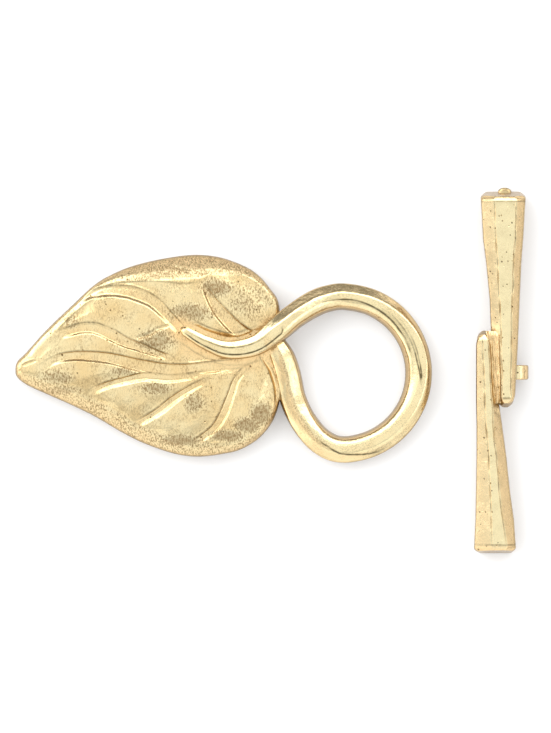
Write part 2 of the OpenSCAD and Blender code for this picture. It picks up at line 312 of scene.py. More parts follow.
leaf_gold = gold_plate("leaf_gold", grain=1.3, gloss=(0.22, 0.34), pits=0.35, deeper=1.0,
                       flat=0.91, brush=0.45)
leaf_outline = [
    # along from base to tip, across from the axis, as shares of length and width
    (1.000, 0.000), (0.992, 0.044), (0.958, 0.086), (0.883, 0.188), (0.790, 0.296),
    (0.700, 0.395), (0.611, 0.449), (0.521, 0.478), (0.410, 0.494), (0.320, 0.493),
    (0.231, 0.467), (0.142, 0.411), (0.089, 0.355), (0.052, 0.291), (0.024, 0.232),
    (0.012, 0.141), (-0.004, 0.054), (-0.004, -0.030), (0.004, -0.144), (0.016, -0.260),
    (0.030, -0.330), (0.055, -0.392), (0.100, -0.452), (0.164, -0.494), (0.231, -0.508),
    (0.320, -0.510), (0.410, -0.484), (0.521, -0.420), (0.611, -0.349), (0.700, -0.268),
    (0.790, -0.198), (0.883, -0.132), (0.956, -0.078), (0.992, -0.036),
]
rim_falls = [
    # How the rim falls: row of the outline; width and slope in degrees of the band inside
    # the rim, then of the rim itself; how coarse the band was left, which also sets how darkly
    # it is painted as shade
    (0, 0.5, 13, 0.25, 36, 0), (3, 0.65, 14, 0.25, 36, 0), (5, 0.75, 14, 0.35, 36, 0.1),
    (7, 1.3, 17, 1.3, 34, 1.2), (9, 1.3, 17, 1.7, 34, 1.3), (11, 0.5, 2, 1.0, 35, 0.9),
    (13, 0.35, 2, 0.45, 36, 0.5), (15, 0.5, 3, 0.4, 38, 0.2), (18, 0.4, 24, 0.3, 40, 0),
    (21, 0.5, 18, 0.4, 40, 0.1), (23, 0.8, 6, 0.9, 24, 0.6), (26, 0.8, 5, 1.3, 22, 0.65),
    (29, 0.8, 5, 1.45, 22, 0.65), (32, 0.6, 8, 1.3, 24, 0.5), (34, 0.35, 20, 0.5, 36, 0.1),
]


def on_leaf(rows):
    """Millimetres from shares of the leaf's length and width."""
    rows = np.asarray(rows, float)
    x = base_x - rows[:, 0] * leaf_long
    y = base_y - rows[:, 0] * leaf_lean + rows[:, 1] * leaf_wide
    return np.stack([x, y], 1)


def curve_points(rows, count, closed=False):
    """Points at even steps along the smooth curve through the rows."""
    rows = np.asarray(rows, float)
    n = len(rows)
    at = np.linspace(0, n if closed else n - 1, count, endpoint=not closed)
    i = np.floor(at).astype(int)
    i = i % n if closed else np.minimum(i, n - 2)
    u = (at - (np.floor(at) if closed else i))[:, None]
    pick = (lambda k: rows[k % n]) if closed else (lambda k: rows[np.clip(k, 0, n - 1)])
    a, b, c, d = pick(i - 1), pick(i), pick(i + 1), pick(i + 2)
    return 0.5 * (2 * b + (c - a) * u + (2 * a - 5 * b + 4 * c - d) * u ** 2
                  + (3 * b - a - 3 * c + d) * u ** 3)


stem_course = [
    # along, across, height as a share of the crown, thickness as a share of the wire
    (0.026, 0.083, 0.87, 0.94), (0.092, 0.024, 0.93, 0.78), (0.159, 0.004, 0.95, 0.72),
    (0.225, 0.012, 0.96, 0.64), (0.290, 0.052, 0.96, 0.52), (0.324, 0.079, 0.95, 0.46),
    (0.386, 0.136, 0.93, 0.33)]
seam_course = [
    # along, across
    (0.074, -0.024), (0.0633, -0.054), (0.050, -0.081), (0.038, -0.108), (0.031, -0.134),
    (0.025, -0.160), (0.0194, -0.199), (0.0175, -0.250), (0.018, -0.300)]
# Veins: their courses in the outline's shares, from the stem outwards; the width at start,
# middle and end, and the depth; the height of the lip on the upper side and the width of
# the wall below it; height and run of the ridge on the lower side, and its wall's width
veins = [
    # the midrib
    ([(0.08, -0.020), (0.16, -0.061), (0.27, -0.070), (0.40, -0.069), (0.51, -0.040),
      (0.64, 0.016), (0.73, 0.040), (0.80, 0.047), (0.86, 0.033), (0.92, -0.017)],
     (0.9, 1.2, 0.5), 0.22, (0.05, 0.16), (0.06, 1.3, 0.34)),
    # the lower lobe's first and second veins, the fine line that leads to them, the third
    ([(0.282, -0.096), (0.355, -0.103), (0.422, -0.105), (0.488, -0.090), (0.528, -0.083),
      (0.595, -0.095), (0.661, -0.110), (0.708, -0.133), (0.741, -0.163)],
     (0.2, 0.5, 0.25), 0.20, (0.03, 0.16), (0.17, 2.2, 0.52)),
    ([(0.286, -0.129), (0.335, -0.155), (0.379, -0.184), (0.422, -0.220), (0.462, -0.259),
      (0.515, -0.296), (0.568, -0.333)],
     (0.2, 0.5, 0.25), 0.20, (0.03, 0.16), (0.17, 2.2, 0.52)),
    ([(0.110, -0.062), (0.136, -0.075), (0.189, -0.090), (0.242, -0.101), (0.282, -0.122)],
     (0.1, 0.1, 0.1), 0.02, (0.0, 0.2), (0.07, 0.9, 0.34)),
    ([(0.127, -0.070), (0.15, -0.100), (0.18, -0.147), (0.195, -0.198), (0.21, -0.254),
      (0.23, -0.316), (0.26, -0.374), (0.31, -0.421), (0.356, -0.459)],
     (0.3, 0.75, 0.4), 0.20, (0.04, 0.16), (0.06, 1.2, 0.30)),
    # the upper lobe's long vein and the fork beside the stem
    ([(0.42, -0.009), (0.47, 0.020), (0.53, 0.058), (0.59, 0.092), (0.645, 0.136),
      (0.70, 0.173), (0.75, 0.181), (0.80, 0.170), (0.86, 0.150)],
     (0.35, 1.1, 0.7), 0.20, (0.05, 0.16), (0.05, 1.0, 0.30)),
    ([(0.41, 0.170), (0.43, 0.156), (0.47, 0.143), (0.51, 0.116), (0.56, 0.108)],
     (0.10, 0.15, 0.10), 0.10, (0.03, 0.14), (0.10, 1.9, 0.26)),
    # the upper lobe's middle vein and the one into the lobe itself
    ([(0.375, 0.106), (0.395, 0.147), (0.44, 0.217), (0.49, 0.284), (0.55, 0.327),
      (0.60, 0.348), (0.66, 0.355), (0.73, 0.345), (0.78, 0.330)],
     (0.7, 1.15, 0.5), 0.20, (0.05, 0.16), (0.13, 1.5, 0.45)),
    ([(0.13, 0.055), (0.17, 0.100), (0.21, 0.155), (0.25, 0.222), (0.28, 0.290),
      (0.305, 0.370)],
     (1.5, 1.2, 0.1), 0.26, (0.05, 0.20), (0.06, 0.9, 0.30)),
    # the seam between blade and ring, the stem's bed, and two old nicks in the rim
    (seam_course, (0.9, 1.0, 0.6), 0.38, (0.0, 0.25), (0.02, 1.0, 0.25)),
    ([row[:2] for row in stem_course[1:]], (3.3, 3.0, 2.2), 0.32, (0.03, 0.5), (0.0, 0.8, 1.7)),
    ([(0.355, 0.409), (0.384, 0.430), (0.412, 0.449)], (0.08, 0.10, 0.05), 0.12,
     (0.04, 0.14), (0.0, 0.3, 0.14)),
    ([(0.927, 0.038), (0.952, 0.029), (0.977, 0.018)], (0.08, 0.12, 0.05), 0.12,
     (0.04, 0.14), (0.0, 0.3, 0.14)),
]
# Steps down on to the panels from the rolled rim: course, height, and how far the panel
# takes to come up again
steps_down = [
    ([(0.300, 0.352), (0.312, 0.357), (0.382, 0.359), (0.455, 0.377), (0.541, 0.388),
      (0.622, 0.390), (0.668, 0.381), (0.708, 0.360), (0.721, 0.352)], 0.15, 1.6),
    ([(0.610, 0.312), (0.648, 0.319), (0.701, 0.322), (0.735, 0.302), (0.768, 0.270),
      (0.801, 0.238), (0.831, 0.196), (0.849, 0.169)], 0.07, 1.7),
]
rough_shaded_places = [
    # Left rough from the mould, and painted darker there as shade: along, across, reach both
    # ways in millimetres, how rough and shaded
    (0.349, 0.212, 2.7, 1.1, 1.8), (0.482, 0.086, 2.2, 1.5, 1.8), (0.475, -0.151, 2.0, 0.7, 1.7),
    (0.336, -0.239, 1.2, 1.2, 1.4), (0.085, -0.325, 1.4, 1.5, 2.2), (0.135, -0.375, 1.6, 1.0, 2.1),
    (0.215, -0.418, 2.2, 0.7, 2.2), (0.389, -0.422, 2.7, 0.7, 2.1), (0.252, 0.321, 2.0, 1.1, 2.0),
    (0.848, -0.052, 2.0, 1.0, 1.5), (0.600, -0.051, 1.6, 0.5, 1.6), (0.430, 0.440, 2.6, 0.7, 1.6),
    (0.790, 0.215, 0.8, 0.8, 1.7), (0.130, 0.235, 2.8, 2.1, 0.9), (0.830, -0.120, 2.6, 0.6, 1.5),
]
# How far the cupped face falls from its middle to its rim, and how much more on the lower
# lobe; the soft bend into the rim's band; a vein's lip; a step's wall; the seam's bead; how
# high the panels are puffed, over what run, and how far inside the rim; the rim's rounding
cup_fall, lower_fall, lobe_blend = 1.25, 0.40, 1.5
bend_soft = 0.45
lip_out, lip_wide = 0.2, 0.15
step_wall = 0.09
bead_high, bead_wide = 0.26, 0.18
puff_high, puff_run, puff_inside = 0.17, 1.8, 1.2
rim_round = 0.3
# Half widths of the fine dark lines painted as shade at edges and round the rim
line_wide, contour_wide = 0.10, 0.16


def along_course(xy, course):
    """Distance of each point from a course, its side (left is +1), and the share along."""
    a, b = course[:-1], course[1:]
    step = b - a
    run = np.concatenate([[0], np.cumsum(np.hypot(*step.T))])
    near = np.full(len(xy), 1e9)
    side, share = np.zeros(len(xy)), np.zeros(len(xy))
    for k in range(len(a)):
        off = xy - a[k]
        u = np.clip(off @ step[k] / (step[k] @ step[k]), 0, 1)
        gap = off - u[:, None] * step[k]
        far = np.hypot(*gap.T)
        closer = far < near
        near[closer] = far[closer]
        turn = step[k][0] * off[:, 1] - step[k][1] * off[:, 0]
        side[closer] = np.sign(turn[closer])
        share[closer] = ((run[k] + u * (run[k + 1] - run[k])) / run[-1])[closer]
    return near, side, share


vein_lines = [curve_points(on_leaf(vein[0]), 48) for vein in veins]
step_lines = [curve_points(on_leaf(step[0]), 40) for step in steps_down]
seam_line = curve_points(on_leaf(seam_course), 48)
stem_line = curve_points(on_leaf([row[:2] for row in stem_course]), 60)
rim_steps = 8
rim_line = on_leaf(curve_points(leaf_outline, rim_steps * len(leaf_outline), closed=True))
rim_line = np.vstack([rim_line, rim_line[:1]])
rim_run = np.concatenate([[0], np.cumsum(np.hypot(*np.diff(rim_line, axis=0).T))])
rim_keys = [rim_run[row[0] * rim_steps] / rim_run[-1] for row in rim_falls]
leaf_middle = on_leaf([(0.42, 0)])[0]


def ease(low, high, value):
    """0 below low, 1 above high, and a smooth step between."""
    u = np.clip((value - low) / (high - low), 0, 1)
    return u * u * (3 - 2 * u)


def leaf_face(xy, out):
    """Height of the leaf's face, and how much painted bounce light its hollows get, how coarse
    it is (with painted shade) and how much of a painted dark line it has there. out is the
    share of the way from the leaf's middle to its rim."""
    gap, _, share = along_course(xy, rim_line)
    low_side = ease(-lobe_blend, lobe_blend,
                    -(xy - leaf_middle) @ np.array([leaf_lean, leaf_long])
                    / math.hypot(leaf_long, leaf_lean))
    z = leaf_crown - (cup_fall + lower_fall * low_side) * out ** 2
    band_wide, band_slope, roll_wide, roll_slope, band_coarse = (
        np.interp(share, rim_keys, [row[k] for row in rim_falls]) for k in (1, 2, 3, 4, 5))
    inner = np.clip(band_wide + roll_wide - gap, 0, None)
    band = np.minimum(inner, band_wide)
    soft = np.minimum(band / bend_soft, 1)
    z -= band * soft ** 0.5 * np.tan(np.radians(band_slope))
    # The rim itself rolls over, steeper and steeper
    roll = np.clip(inner - band_wide, 0, None)
    z -= (0.82 * roll + 0.18 * roll ** 2 / roll_wide) * np.tan(np.radians(roll_slope))
    panel = np.full(len(xy), 9.0)
    cut, deep, rise, coarse, lined = (np.zeros(len(xy)) for _ in range(5))
    for (_, widths, depth, (lip, upper_wall), (ridge, run, wall)), line in zip(veins, vein_lines):
        near, side, along = along_course(xy, line)
        wide = np.interp(along, [0, 0.5, 1], widths) / 2
        fade = (0.3 + 0.7 * ease(0, 0.1, along)) * (1 - ease(0.82, 1.0, along))
        # The upper wall is steep; the lower one slopes up evenly on to the ridge
        slope = np.where(side > 0, wall, upper_wall)
        up = np.clip((near - wide) / slope, 0, 1)
        cut = np.maximum(cut, depth * fade * (1 - up))
        # the groove's floor gets painted bounce light
        deep = np.maximum(deep, depth * fade * (1 - up ** 2)
                          * (0.46 + 0.36 * np.clip(near * side / wide, -1, 1)))
        past = np.clip(near - wide - slope, 0, None)
        lower = ridge * up * (1 - ease(0.05, 1, past / run)) * ease(0, 0.3, along)
        upper = lip * np.exp(-((near - wide - lip_out) / lip_wide) ** 2)
        rise = np.maximum(rise, np.where(side > 0, lower, upper) * fade)
        panel = np.minimum(panel, past)
        # A fine dark line is painted where the walls meet the face, as shade in the crease
        edge = np.where(side > 0, near - wide - slope * 0.15, near - wide - upper_wall)
        lined = np.maximum(lined, np.where(side > 0, 0.4, 0.85) * min(1, depth / 0.2) * fade
                           * np.exp(-(edge / line_wide) ** 2))
    for (_, depth, run), line in zip(steps_down, step_lines):
        near, side, along = along_course(xy, line)
        ends = ease(0, 0.12, along) * (1 - ease(0.88, 1.0, along))
        below = np.clip(near * side / step_wall, 0, 1) * (1 - ease(step_wall, run, near))
        z -= depth * ends * below
        # and a painted dark line of shade along the step
        lined = np.maximum(lined, 0.5 * ends * np.exp(-(near / line_wide) ** 2))
    # A low bead runs down the middle of the seam, where the gold is painted deeper in tone as
    # bounce light
    near, _, along = along_course(xy, seam_line)
    cut -= bead_high * np.exp(-(near / bead_wide) ** 2) * ease(0.1, 0.3, along)
    deep = np.maximum(deep, 0.36 * np.exp(-(near / 0.6) ** 2))
    calm = ease(0.05, 0.6, gap)
    # a painted dark line of shade round the rim
    contour = 0.5 * np.exp(-(gap / contour_wide) ** 2)
    puff = puff_high * ease(0, puff_run, np.minimum(panel, gap - puff_inside))
    edge = np.clip(1 - gap / rim_round, 0, 1)
    z += (rise - cut) * calm + puff - rim_round * (1 - np.sqrt(1 - edge ** 2))
    # Coarse places, also painted darker there as shade
    for along, across, reach_along, reach_across, rough_and_shade in rough_shaded_places:
        off = xy - on_leaf([(along, across)])[0]
        spread = (off[:, 0] / reach_along) ** 2 + (off[:, 1] / reach_across) ** 2
        coarse = np.maximum(coarse, rough_and_shade * np.exp(-1.2 * spread ** 2))
    coarse = np.maximum(
        coarse, band_coarse * (1 - ease(-0.6, -0.1, gap - (band_wide + roll_wide))))
    # Round the stem the gold is painted deepest in tone, as shadow and bounce light under it
    near, _, along = along_course(xy, stem_line)
    beside = near - np.interp(along, [0, 1], [1.45, 0.75])
    halo = np.clip(beside, 0, None) / np.interp(along, [0, 1], [0.45, 0.8])
    deep = np.maximum(deep / 0.22, 2.0 * np.exp(-halo ** 2))
    return z, np.clip(deep, 0, 2) * calm, coarse, np.maximum(lined * calm, contour)


def tube_faces(count, sides):
    """Quads between successive rings of points."""
    return [(i * sides + k, i * sides + (k + 1) % sides,
             (i + 1) * sides + (k + 1) % sides, (i + 1) * sides + k)
            for i in range(count - 1) for k in range(sides)]


def cast_piece(name, points, faces, metal):
    """A piece from points in millimetres."""
    mesh = bpy.data.meshes.new(name)
    mesh.from_pydata((np.asarray(points) * mm).tolist(), [], faces)
    mesh.materials.append(metal)
    mesh.update()
    made = bpy.data.objects.new(name, mesh)
    scene.collection.objects.link(made)
    return made


# The blade's points lie on spokes from its middle: the middle, the face out to the rim, the
# hollow back with the rim's flat foot, and the middle of the back
spokes, face_rings, back_rings = 520, 118, 12
rim = on_leaf(curve_points(leaf_outline, spokes, closed=True))
face_share = np.linspace(0, 1, face_rings + 1)[1:]
face_xy = (leaf_middle + face_share[:, None, None] * (rim - leaf_middle)).reshape(-1, 2)
face_z = leaf_face(face_xy, np.repeat(face_share, spokes))[0]
back_share = np.linspace(1, 0, back_rings + 1)[:-1]
back_xy = (leaf_middle + back_share[:, None, None] * (rim - leaf_middle)).reshape(-1, 2)
reach = np.tile(np.hypot(*(rim - leaf_middle).T), back_rings)
foot = 1 - rim_foot / reach
back_out = np.repeat(back_share, spokes)
back_z = np.where(back_out > foot, 0,
                  (leaf_crown - leaf_wall) * (1 - np.clip(back_out / foot, 0, 1) ** 2.5))
middle_z = leaf_face(leaf_middle[None], np.zeros(1))[0][0]
leaf_points = np.vstack([
    [[*leaf_middle, middle_z]], np.column_stack([face_xy, face_z]),
    np.column_stack([back_xy, back_z]), [[*leaf_middle, leaf_crown - leaf_wall]]])
end = len(leaf_points) - 1
leaf_faces = [(0, 1 + (k + 1) % spokes, 1 + k) for k in range(spokes)]
leaf_faces += [tuple(1 + v for v in face) for face in tube_faces(face_rings + back_rings, spokes)]
leaf_faces += [(end, end - spokes + k, end - spokes + (k + 1) % spokes) for k in range(spokes)]
leaf = cast_piece("leaf_ring_casting", leaf_points, leaf_faces, leaf_gold)

# The ring and the stem are one wire of the same casting, polished brighter than the leaf.
# It starts under the stem at the leaf's base, makes the ring, climbs over the leaf and
# tapers to the stem's rounded end.
ring_gold = gold_plate("ring_gold", grain=0.75, gloss=(0.19, 0.30), pits=0.10, deeper=0.50,
                       flat=0.86, brush=1)
ring_bore, ring_wire, ring_lap, ring_drop = 15.1, 3.2, 3.8, 3.2
ring_radius = (ring_bore + ring_wire) / 2
ring_x = base_x + ring_bore / 2 + ring_wire - ring_lap
ring_y = base_y - ring_drop
ring_course = (
    # turn about the ring's middle in degrees, distance as a share of the ring's radius,
    # height and thickness as shares of the wire's
    [(157, 0.946, 0.82, 0.80), (166, 0.805, 0.77, 0.95), (182, 0.715, 0.62, 1),
     (207, 0.727, 0.5, 1), (230, 0.805, 0.5, 1), (251, 0.927, 0.5, 1)]
    + [(turn, 1, 0.5, 1) for turn in range(268, 449, 20)]
    + [(461, 0.992, 0.62, 1), (473, 0.978, 0.80, 1), (490, 0.973, 1.08, 0.96)])
wire_rows = [(ring_x + r * ring_radius * math.cos(math.radians(t)),
              ring_y + r * ring_radius * math.sin(math.radians(t)),
              h * ring_wire, w * ring_wire) for t, r, h, w in ring_course]
for row in stem_course:
    spot = on_leaf([row[:2]])[0]
    wire_rows.append((spot[0], spot[1], row[2] * leaf_crown, row[3] * ring_wire))
wire = curve_points(wire_rows, 440)
wire_step = np.linalg.norm(np.diff(wire[:, :3], axis=0), axis=1)
wire_run = np.concatenate([[0], np.cumsum(wire_step)])
to_end = wire_run[-1] - wire_run
end_reach = 0.9
wire[:, 3] *= np.sqrt(np.clip(1 - np.clip(1 - to_end / end_reach, 0, 0.995) ** 2, 0, 1))
# Half sections as rows of across and up, in half widths, from the ring's outer side over
# the crest to its inner side: at its root the wire is flattened towards the inner side,
# round the ring both shoulders are dressed off, and so are the stem's
root_section = [(-1, 0), (-0.985, 0.28), (-0.95, 0.48), (-0.89, 0.62), (-0.80, 0.72),
                (-0.70, 0.78), (-0.60, 0.825), (-0.50, 0.86), (-0.40, 0.89), (-0.30, 0.915),
                (-0.20, 0.935), (-0.10, 0.95), (0.0, 0.955), (0.08, 0.935), (0.18, 0.895),
                (0.30, 0.845), (0.42, 0.795), (0.54, 0.742), (0.64, 0.70), (0.74, 0.65),
                (0.83, 0.56), (0.93, 0.35), (1, 0)]
ring_section = [(-1, 0), (-0.995, 0.20), (-0.985, 0.33), (-0.96, 0.40), (-0.88, 0.47),
                (-0.75, 0.58), (-0.60, 0.71), (-0.52, 0.78), (-0.46, 0.83), (-0.36, 0.905),
                (-0.28, 0.95), (-0.18, 0.98), (-0.05, 0.995), (0.12, 1.0), (0.21, 0.995),
                (0.27, 0.983), (0.34, 0.959), (0.42, 0.932), (0.52, 0.882), (0.64, 0.808),
                (0.76, 0.69), (0.87, 0.47), (1, 0)]
stem_section = [(-1, 0), (-0.99, 0.30), (-0.97, 0.50), (-0.93, 0.635), (-0.85, 0.685),
                (-0.74, 0.745), (-0.62, 0.81), (-0.50, 0.872), (-0.43, 0.905), (-0.36, 0.93),
                (-0.30, 0.938), (-0.22, 0.955), (-0.05, 0.985), (0.15, 1.0), (0.30, 0.995),
                (0.38, 0.98), (0.46, 0.953), (0.55, 0.922), (0.62, 0.88), (0.76, 0.775),
                (0.90, 0.62), (0.97, 0.40), (1, 0)]
upper_sides, lower_sides = 45, 8
wire_sides = upper_sides + lower_sides
under = np.linspace(0, -np.pi, lower_sides + 2)[1:-1]
under = np.stack([np.cos(under), np.sin(under)], 1)
root_half, ring_half, stem_half = (np.vstack([curve_points(rows, upper_sides), under])
                                   for rows in (root_section, ring_section, stem_section))
ahead = np.gradient(wire[:, :3], axis=0)
ahead /= np.linalg.norm(ahead, axis=1)[:, None]
across = np.stack([-ahead[:, 1], ahead[:, 0], np.zeros(len(wire))], 1)
across /= np.linalg.norm(across, axis=1)[:, None]
up = np.cross(ahead, across)
along_wire = (wire_run / wire_run[-1])[:, None, None]
as_root, as_stem = 1 - ease(0.10, 0.20, along_wire), ease(0.76, 0.86, along_wire)
section = root_half * as_root + ring_half * (1 - as_root - as_stem) + stem_half * as_stem
# The outer shoulder is rounder where the ring faces the bar, and a little above that the
# section leans outwards, so that more of its inner side shows; turns are in radians
round_most, round_turn, round_reach = 0.25, -0.45, 0.55
lean_most, lean_turn, lean_reach = 0.42, 0.25, 0.65
turn = np.arctan2(wire[:, 1] - ring_y, wire[:, 0] - ring_x)
as_ring = (1 - as_root - as_stem)[:, :, 0]
rounder = round_most * np.exp(-((turn - round_turn) / round_reach) ** 2)[:, None] * as_ring
shoulder = (section[:, :, 0] < -0.20) & (section[:, :, 1] > 0.4)
section[:, :, 1] += shoulder * rounder * (0.965 - section[:, :, 1])
lean = lean_most * np.exp(-((turn - lean_turn) / lean_reach) ** 2)[:, None] * as_ring
section[:, :, 0] -= lean * (1 - section[:, :, 0] ** 2) * (section[:, :, 1] > 0)
sections = wire[:, None, :3] + wire[:, 3, None, None] / 2 * (
    section[:, :, :1] * across[:, None] + section[:, :, 1:] * up[:, None])
sections[:, :, 2] = np.clip(sections[:, :, 2], 0, cad_high[2] / mm - 0.01)


def closed_tube(count, sides):
    """The faces of a tube from ring to ring, with both its ends closed."""
    return ([tuple(range(sides - 1, -1, -1))] + tube_faces(count, sides)
            + [tuple((count - 1) * sides + k for k in range(sides))])


ring = cast_piece("ring_wire", sections.reshape(-1, 3), closed_tube(len(wire), wire_sides),
                  ring_gold)

# The leaf's loop is part of the same casting. It stands on edge in the leaf's hollow back
# and takes the necklace's jump ring.
floor_clear = 0.1
leaf_hole, leaf_loop_wall, leaf_loop_thick = 1.8, 1.0, 1.8
leaf_loop_share = 0.52


def turned_loop(name, middle, hole, wall, thick, metal):
    """A loop standing on edge, its hole along Y, with rounded edges."""
    inner, outer = hole / 2, hole / 2 + wall
    bevel = 0.28 * min(wall, thick)
    profile = []
    for r, y, start in ((outer, thick / 2, 0), (inner, thick / 2, 90),
                        (inner, -thick / 2, 180), (outer, -thick / 2, 270)):
        for step in range(5):
            t = math.radians(start + step * 22.5)
            profile.append((r + bevel * (math.cos(t) - (1 if r == outer else -1)),
                            y + bevel * (math.sin(t) - (1 if y > 0 else -1))))
    sides, n = 72, len(profile)
    points = [(middle[0] + r * math.cos(2 * math.pi * s / sides), middle[1] + y,
               middle[2] + r * math.sin(2 * math.pi * s / sides))
              for s in range(sides) for r, y in profile]
    faces = [(s * n + k, s * n + (k + 1) % n, (s + 1) % sides * n + (k + 1) % n,
              (s + 1) % sides * n + k) for s in range(sides) for k in range(n)]
    return cast_piece(name, points, faces, metal)


loop_spot = on_leaf([(leaf_loop_share, 0)])[0]
loop_high = floor_clear + leaf_loop_wall + leaf_hole / 2
leaf_loop = turned_loop("leaf_loop", (loop_spot[0], loop_spot[1], loop_high),
                        leaf_hole, leaf_loop_wall, leaf_loop_thick, leaf_gold)

# The leaf half comes out of the mould as one piece of brass, so blade, wire and loop are
# fused. Marks on the skin paint light and shade into it: hollows deeper in tone as painted
# bounce light, coarse places that the wheel missed, painted darker as shade, and fine dark
# lines painted along the wire as dark reflections.
# Painted dark lines along the ring's wire, standing in for its dark reflections
ring_reflection_lines = [
    # turn in degrees, how far in as a share of the wire's half width, how strong
    [(106, 0.22, 0.2), (95, 0.22, 0.7), (80, 0.19, 1), (61, 0.28, 1), (37, 0.37, 1),
     (19, 0.37, 0.7), (12, 0.36, 0)],
    [(58, -0.02, 0), (40, 0.05, 0.35), (20, 0.07, 0.3), (8, 0.06, 0.8), (-3, -0.12, 0.9),
     (-9, -0.2, 0)],
    [(50, -0.25, 0), (30, -0.12, 0.2), (10, -0.1, 0.5), (-2, -0.2, 0.9), (-10, -0.24, 0)],
    [(-112, -0.05, 0), (-101, -0.12, 0.8), (-92, -0.3, 0.9), (-81, -0.46, 1), (-68, -0.70, 0.8),
     (-55, -0.80, 0)]]
# and the same painted dark reflection lines along the stem
stem_reflection_lines = [
    # share of the stem's length, how far in, how strong
    [(0.0, 0.42, 0.8), (0.3, 0.48, 1), (0.6, 0.48, 1), (0.85, 0.45, 0.9), (0.95, 0.3, 0)],
    [(0.05, -0.22, 0), (0.25, -0.25, 0.5), (0.7, -0.25, 0.5), (0.9, -0.15, 0)]]
reflection_line_wide, reflection_line_dark = 0.08, 2.1


def facing_out(*things):
    """Turns every face outwards."""
    for thing in things:
        work = bmesh.new()
        work.from_mesh(thing.data)
        bmesh.ops.recalc_face_normals(work, faces=work.faces)
        work.to_mesh(thing.data)
        work.free()


def fuse(body, *parts):
    """Joins solids into one watertight casting."""
    facing_out(body, *parts)
    for part in parts:
        cut = body.modifiers.new("fuse", "BOOLEAN")
        cut.operation = "UNION"
        cut.solver = "MANIFOLD"
        cut.material_mode = "TRANSFER"
        cut.object = part
        bpy.context.view_layer.update()
        fused = bpy.data.meshes.new_from_object(
            body.evaluated_get(bpy.context.evaluated_depsgraph_get()))
        body.modifiers.clear()
        old = body.data
        body.data = fused
        bpy.data.meshes.remove(old)
        bpy.data.objects.remove(part)
    body.data.shade_smooth()


def reflection_line(at, inward, half, creases):
    """How much of a painted dark line, standing in for a dark reflection, lies at each point of
    a wire of the given half width.
    """
    line = np.zeros(len(at))
    for rows in creases:
        turns, insides, strengths = np.asarray(sorted(rows)).T
        middle = np.interp(at, turns, insides, left=9, right=9)
        strong = np.interp(at, turns, strengths, left=0, right=0)
        off = (inward - middle) * half
        line = np.maximum(line, reflection_line_dark * strong * np.exp(-(off / reflection_line_wide) ** 2))
    return line


def skin_spots(thing):
    """Where the points of a casting's skin lie, in millimetres."""
    spots = np.empty(len(thing.data.vertices) * 3, np.float32)
    thing.data.vertices.foreach_get("co", spots)
    return spots.reshape(-1, 3) / mm


def keep_marks(thing, **marks):
    """Keeps marks on the points of a casting's skin, where its metal reads them."""
    for name, values in marks.items():
        layer = thing.data.attributes.new(name, "FLOAT", "POINT")
        layer.data.foreach_set("value", values.astype(np.float32))


def mark_leaf_half(thing):
    """Marks the leaf half's painted bounce light in its hollows, its coarse places with their
    painted shade, and its painted dark lines.
    """
    spots = skin_spots(thing)
    xy = spots[:, :2]
    to_rim = along_course(xy, rim_line)[0]
    far = np.hypot(*(xy - leaf_middle).T)
    z, hollow, coarse, lined = leaf_face(xy, far / (far + to_rim + 1e-6))
    on_face = (np.abs(spots[:, 2] - z) < 0.35) & (spots[:, 0] < base_x + 0.2)
    # The wire: how far in from its middle each point lies, in half widths
    out = xy - np.array([ring_x, ring_y])
    turn = np.degrees(np.arctan2(out[:, 1], out[:, 0]))
    root_turns, root_radii, _, _ = zip(*ring_course[:6], (268, 1, 0, 0))
    radius = np.where(np.abs(turn) > 92, np.interp(turn % 360, root_turns, root_radii, left=1), 1)
    inward = (radius * ring_radius - np.hypot(*out.T)) / (ring_wire / 2)
    on_wire = ~on_face & (np.abs(inward) < 1) & (spots[:, 2] > ring_wire * 0.4)
    on_root = on_wire * ease(150, 162, turn % 360) * (1 - ease(240, 275, turn % 360))
    on_ring = (np.abs(inward) < 1) & (spots[:, 2] > ring_wire / 2) & (np.abs(turn) < 125)
    near, side, share = along_course(xy, stem_line)
    half = np.interp(share, [0, 0.5, 0.85, 1], [1.5, 1.15, 0.75, 0.5])
    on_stem = (near < half) & (spots[:, 2] > z + 0.3) & (spots[:, 0] < base_x + 1)
    # Painted bounce light on the ring's root, painted shade on the wire's inner flank
    hollow = hollow * on_face + 1.2 * on_root * (1 - ease(-0.15, 0.15, inward))
    hollow += 0.5 * on_wire * ease(0.60, 0.80, inward)
    coarse = coarse * on_face + 1.2 * on_root * np.exp(-(inward / 0.18) ** 2)
    # Painted dark lines: shade at the wire's edges, dark reflections along ring and stem
    lined = (lined * on_face + 0.5 * on_wire * ease(0.86, 0.98, np.abs(inward))
             + on_ring * reflection_line(turn, inward, ring_wire / 2, ring_reflection_lines)
             + on_stem * reflection_line(share, near * side / half, half, stem_reflection_lines))
    keep_marks(thing, hollow=hollow, coarse=coarse, line=lined)


fuse(leaf, ring, leaf_loop)
mark_leaf_half(leaf)
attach(leaf, "root")
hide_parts("leaf_ring")

# The toggle bar: one brass casting of two faceted wedges side by side, head to tail, with
# a loop behind the middle and the stub of the mould's feed on its upper end. Its facets
# were dressed by hand, and the crevice between the wedges was left as cast.
bar_gold = gold_plate("bar_gold", grain=0.45, gloss=(0.24, 0.34), pits=0.95, deeper=0.06,
                      flat=1.02, brush=1)
bar_long, bar_lap, wedge_more = 43.4, 9.2, 0.8
wedge_wide, wedge_thick, wedge_thin = 5.3, 4.3, 2.0
bar_loop_out, nub_wide, nub_high = 1.3, 1.6, 0.45
# How high the slope behind a side ends, as a share of the thickness, and how steeply the
# bevels beside the front face fall
side_back = 0.42
left_fall, right_fall = math.radians(25), math.radians(33)
